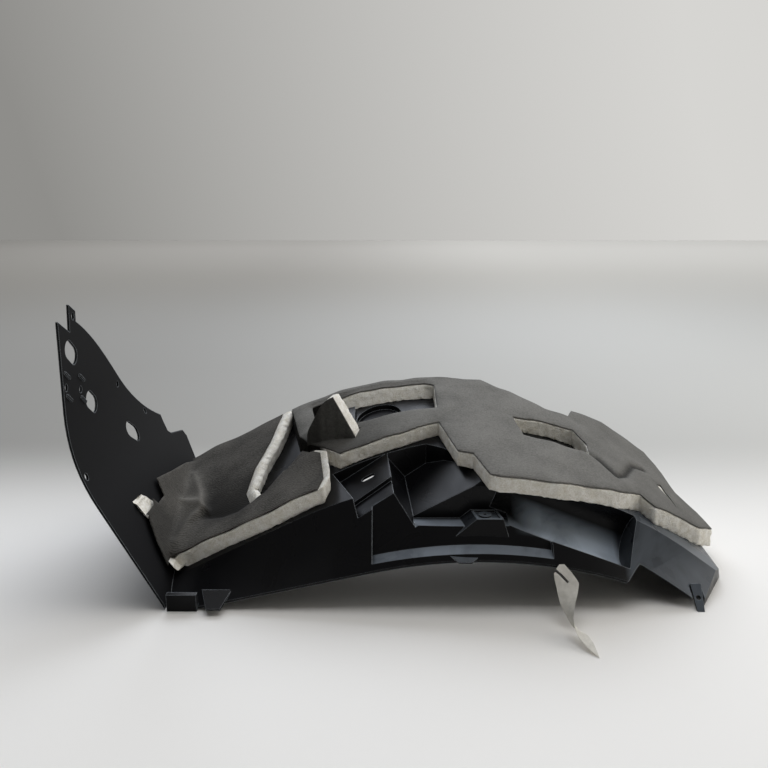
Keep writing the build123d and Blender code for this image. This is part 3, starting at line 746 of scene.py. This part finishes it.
print("a tuft:", round(tufts_at(1.0, 2.0, 3.0), 2))

# %% [markdown]
# With these moves, each pad's wadding is made like its facing, point by point. How near a point lies to the
# facing tells how far up it is. What lies behind the turned-up facing, and the left end of the crown pad under
# the facing that wraps it, are painted as dark as that facing's painted shade.

# %% Wadding
core_thickness = 17.0
cover_reach = 4 * mm            # a point this close below the facing isn't on a wall
bare_drop = 5.0                 # how far the bare wadding at the front pad's corner has sunk
flap_clear = 0.1                # no wadding comes closer to the flap than this
crown_left_end = (-98.0, -110.0)


def core(name, facing_name, relief, rim, shaded_end):
    """Makes a pad's wadding. Beyond these places along the liner, its end gets painted shade."""
    sheet = welded(facing_name)
    cover = BVHTree.FromBMesh(sheet)
    sheet.free()
    mesh = diced(name)
    mesh.normal_update()
    wadding_shade = mesh.verts.layers.float.new("wadding_shade")
    moved = []
    for v in mesh.verts:
        x, y, _ = v.co / mm
        depth = cover.find_nearest(v.co)[3] / mm
        up = min(max(1.0 - depth / core_thickness, 0.0), 1.0)
        place = pull_notch(v.co)
        edge = rim.find(place)[2] / mm
        on_wall = cover.ray_cast(v.co, v.normal, cover_reach)[0] is None
        out = Vector((v.normal.x, v.normal.y, 0.0)) if on_wall else Vector()
        move = fluffed(v.co, out, up, relief(x, y, edge))
        move = move.lerp(*short_of_flap(v.co, up))
        bare = bare_corner(place)
        move.z -= bare_drop * bare
        move.y += lean_window(x, y) * up
        hide = turned_up_share(v.co) * (1.0 - bare)
        move = move.lerp(pressed_flat(v.co, place, edge), hide)
        # painted shade behind the turned-up facing and at the crown pad's left end
        v[wadding_shade] = max(hide, smooth_step(*shaded_end, x) if shaded_end else 0.0)
        place += move * mm
        moved.append(place + flap_normal * max(flap_clear - flap_gap(place), 0.0) * mm)
    for v, place in zip(mesh.verts, moved):
        v.co = place
    finish_piece(mesh, name.replace("core", "wadding"), wadding, name)


core("front_pad_core", "front_pad_facing", front_relief, front_rim, None)
core("crown_pad_core", "crown_pad_facing", crown_relief, crown_rim, crown_left_end)

# %% [markdown]
# The paper tag is a flat strip with a slanting slit. It hangs from the lip, turns over once on its way down
# and touches the table with its tip. Its outline is drawn flat, across and along the strip, then cut small and
# carried onto its middle line. Uncoated paper is matt and off-white, with a cloud of pulp and a fine tooth.

# %% Paper tag
tag_outline = [(-2, 0), (3, 1), (11, 26), (13, 33), (11, 41), (8, 54), (6, 66), (7, 83), (4, 100), (0, 110),
               (-5, 98), (-7, 81), (-6, 63), (-8, 50), (-9, 38), (-9.5, 24), (-9, 14), (-7.5, 12), (2, 32),
               (4, 30), (-6, 7)]
tag_thickness = 0.4
tag_pitch = 2.0
tag_clear = 0.2 * mm            # its tip keeps this far off the table
tag_middle = [(137.5, -103.2, 51.0), (139.0, -108.5, 43.0), (140.5, -115.5, 33.0), (140.0, -128.0, 22.5),
              (141.0, -146.0, 13.5), (147.0, -162.0, 8.5), (156.5, -184.0, 0.9)]
tag_turns_deg = [0.0, 0.0, 6.0, 30.0, 95.0, 165.0, 180.0]
run_step = 0.03                 # share of the length over which its direction is taken
pulp_size = 7 * mm
tooth_size = 1.2 * mm           # drawn coarser than real paper, so that it shows
tooth_rise = 0.2 * mm


def along_tag(share):
    """Place and turn on the tag's middle line at a share of its length."""
    spot = share * (len(tag_middle) - 1)
    index = min(int(spot), len(tag_middle) - 2)
    part = spot - index
    before, after = Vector(tag_middle[index]), Vector(tag_middle[index + 1])
    turn = tag_turns_deg[index] + (tag_turns_deg[index + 1] - tag_turns_deg[index]) * part
    return before.lerp(after, part), math.radians(turn)


def paper():
    material, tree = new_material("paper")
    place = node(tree, "ShaderNodeTexCoord").outputs["Object"]
    pulp = node(tree, "ShaderNodeTexNoise", {"Vector": place, "Scale": 1 / pulp_size, "Detail": 5.0,
                                             "Roughness": 0.6})
    tooth = node(tree, "ShaderNodeTexNoise", {"Vector": place, "Scale": 1 / tooth_size, "Detail": 2.0})
    cloud = node(tree, "ShaderNodeMapRange", {"Value": pulp.outputs["Fac"], "From Min": 0.3, "From Max": 0.7})
    tone = node(tree, "ShaderNodeMix", {"Factor": cloud.outputs["Result"], "A": linear("#c4c1b8"),
                                        "B": linear("#dcd9d1")}, data_type="RGBA")
    bump = node(tree, "ShaderNodeBump", {"Height": tooth.outputs["Fac"], "Strength": 0.4,
                                         "Distance": tooth_rise})
    body = node(tree, "ShaderNodeBsdfPrincipled", {"Base Color": tone.outputs["Result"], "Roughness": 0.8,
                                                   "Normal": bump.outputs["Normal"]})
    node(tree, "ShaderNodeOutputMaterial", {"Surface": body.outputs["BSDF"]})
    return material


def paper_tag():
    length = max(v for _, v in tag_outline)
    mesh = bmesh.new()
    mesh.faces.new([mesh.verts.new((u, v, 0.0)) for u, v in tag_outline])
    mesh.normal_update()        # a concave outline is filled rightly only if its face knows its normal
    bmesh.ops.triangulate(mesh, faces=mesh.faces)
    dice(mesh, 0, tag_pitch)
    dice(mesh, 1, tag_pitch)
    for v in mesh.verts:
        share = v.co.y / length
        place, turn = along_tag(share)
        ahead, behind = along_tag(min(share + run_step, 1.0))[0], along_tag(max(share - run_step, 0.0))[0]
        run = (ahead - behind).normalized()
        across = (Vector((1, 0, 0)) - run * run.x).normalized()
        v.co = (place + Matrix.Rotation(turn, 3, run) @ across * v.co.x) * mm
    lowest = min(v.co.z for v in mesh.verts)
    for v in mesh.verts:
        v.co.z -= min(lowest - tag_clear, 0.0)
    bmesh.ops.solidify(mesh, geom=mesh.faces[:], thickness=tag_thickness * mm)
    finish_piece(mesh, "tag", paper(), "paper_tag")


paper_tag()

# %% [markdown]
# The liner lies on a pale table, white in front. Behind it the table is painted grey, more so on the left: painted
# shade of the wall behind, and of light that falls off to the left. A backdrop could give that tone too. A floor
# whose colour changes with its place does it without an edge.

# %% Table
floor_half = 6.0
back_y, deep_y, right_side_x = (0.0, 0.45), (1.0, 5.0), (-0.8, 0.9)    # metres between which the tone changes


def pale_table():
    """White paper in front, with painted shade that turns it grey behind the liner, more so on the left."""
    material, tree = new_material("pale_paper")
    where = node(tree, "ShaderNodeSeparateXYZ", {0: node(tree, "ShaderNodeTexCoord").outputs["Object"]})
    back = node(tree, "ShaderNodeMapRange", {"Value": where.outputs["Y"], "From Min": back_y[0],
                                             "From Max": back_y[1]}, interpolation_type="SMOOTHSTEP")
    deep = node(tree, "ShaderNodeMapRange", {"Value": where.outputs["Y"], "From Min": deep_y[0],
                                             "From Max": deep_y[1]})
    right = node(tree, "ShaderNodeMapRange", {"Value": where.outputs["X"], "From Min": right_side_x[0],
                                              "From Max": right_side_x[1]}, interpolation_type="SMOOTHSTEP")
    # painted shade behind the liner, darker on the left
    near_wall = node(tree, "ShaderNodeMix", {"Factor": right.outputs["Result"], "A": linear("#8b8984"),
                                             "B": linear("#bab9b4")}, data_type="RGBA")
    far_wall = node(tree, "ShaderNodeMix", {"Factor": right.outputs["Result"], "A": linear("#adaba7"),
                                            "B": linear("#cbcac6")}, data_type="RGBA")
    far = node(tree, "ShaderNodeMix", {"Factor": deep.outputs["Result"], "A": near_wall.outputs["Result"],
                                       "B": far_wall.outputs["Result"]}, data_type="RGBA")
    tone = node(tree, "ShaderNodeMix", {"Factor": back.outputs["Result"], "A": linear("#eceae6"),
                                        "B": far.outputs["Result"]}, data_type="RGBA")
    body = node(tree, "ShaderNodeBsdfPrincipled", {"Base Color": tone.outputs["Result"], "Roughness": 0.8})
    node(tree, "ShaderNodeOutputMaterial", {"Surface": body.outputs["BSDF"]})
    return material


def floor():
    mesh = bmesh.new()
    bmesh.ops.create_grid(mesh, x_segments=1, y_segments=1, size=floor_half)
    data = bpy.data.meshes.new("floor")
    mesh.to_mesh(data)
    mesh.free()
    obj = bpy.data.objects.new("floor", data)
    bpy.context.scene.collection.objects.link(obj)
    dress(obj, pale_table())


floor()
print("the table is", round(2 * floor_half), "m wide")

# %% [markdown]
# Soft light, as from a roof window behind the liner: that lamp is the strongest and a little blue. One straight
# above fills the front, a weak warm one stands at the right, and a broad wash far behind keeps the floor pale.

# %% Lamps
lamps = {                       # place, target, size, watts and colour
    "skylight": ((-0.1, 1.5, 1.6), (0.0, 0.0, 0.05), (2.6, 1.2), 21.0, "#e2edff"),
    "overhead": ((0.1, -0.05, 1.9), (0.1, -0.05, 0.0), (1.8, 0.9), 11.5, "#fbfcff"),
    "window": ((1.6, 0.2, 0.9), (0.0, 0.0, 0.1), (1.2, 1.2), 6.0, "#fff8f0"),
    "far_wash": ((1.5, 4.6, 3.2), (1.5, 4.6, 0.0), (8.0, 5.0), 185.0, "#fbfcff"),
}
for name, (place, target, size, watts, hex_colour) in lamps.items():
    light = bpy.data.lights.new(name, "AREA")
    light.shape = "RECTANGLE"
    light.size, light.size_y = size
    light.energy = watts
    light.color = linear(hex_colour)[:3]
    lamp = bpy.data.objects.new(name, light)
    lamp.location = place
    lamp.rotation_euler = (Vector(target) - Vector(place)).to_track_quat("-Z", "Y").to_euler()
    bpy.context.scene.collection.objects.link(lamp)
print("lamps:", ", ".join(lamps))

# %% [markdown]
# The surround has two tones. What lights the liner is a dim room in front with a bright side at its upper right.
# What the camera and shiny plastic see is a plain wall that gets paler the same way.

# %% Surround
bright_side = (0.8, 0.55, 0.25)
room_share, wall_share = (-0.4, 0.9), (0.19, 0.82)     # how far towards the bright side each tone changes


def surround():
    world = bpy.data.worlds.new("surround")
    world.use_nodes = True
    tree = world.node_tree
    tree.nodes.clear()
    ray = node(tree, "ShaderNodeTexCoord").outputs["Generated"]
    bright = node(tree, "ShaderNodeVectorMath", {0: ray, 1: bright_side}, operation="DOT_PRODUCT")
    tones = []
    for (start, full), dim, pale in ((room_share, "#1c1c1e", "#cdccc8"), (wall_share, "#8e8d8a", "#d6d5d2")):
        share = node(tree, "ShaderNodeMapRange", {"Value": bright.outputs["Value"], "From Min": start,
                                                  "From Max": full})
        tones.append(node(tree, "ShaderNodeMix", {"Factor": share.outputs["Result"], "A": linear(dim),
                                                  "B": linear(pale)}, data_type="RGBA").outputs["Result"])
    path = node(tree, "ShaderNodeLightPath")
    shiny = node(tree, "ShaderNodeMath", {0: path.outputs["Is Glossy Ray"],
                                          1: path.outputs["Is Transmission Ray"]}, operation="MAXIMUM")
    shown = node(tree, "ShaderNodeMath", {0: path.outputs["Is Camera Ray"], 1: shiny.outputs["Value"]},
                 operation="MAXIMUM")
    tone = node(tree, "ShaderNodeMix", {"Factor": shown.outputs["Value"], "A": tones[0], "B": tones[1]},
                data_type="RGBA")
    sky = node(tree, "ShaderNodeBackground", {"Color": tone.outputs["Result"], "Strength": 1.0})
    node(tree, "ShaderNodeOutputWorld", {"Surface": sky.outputs["Background"]})
    return world


bpy.context.scene.world = surround()
bpy.context.scene.view_settings.view_transform = "Standard"
print("surround:", bpy.context.scene.world.name)
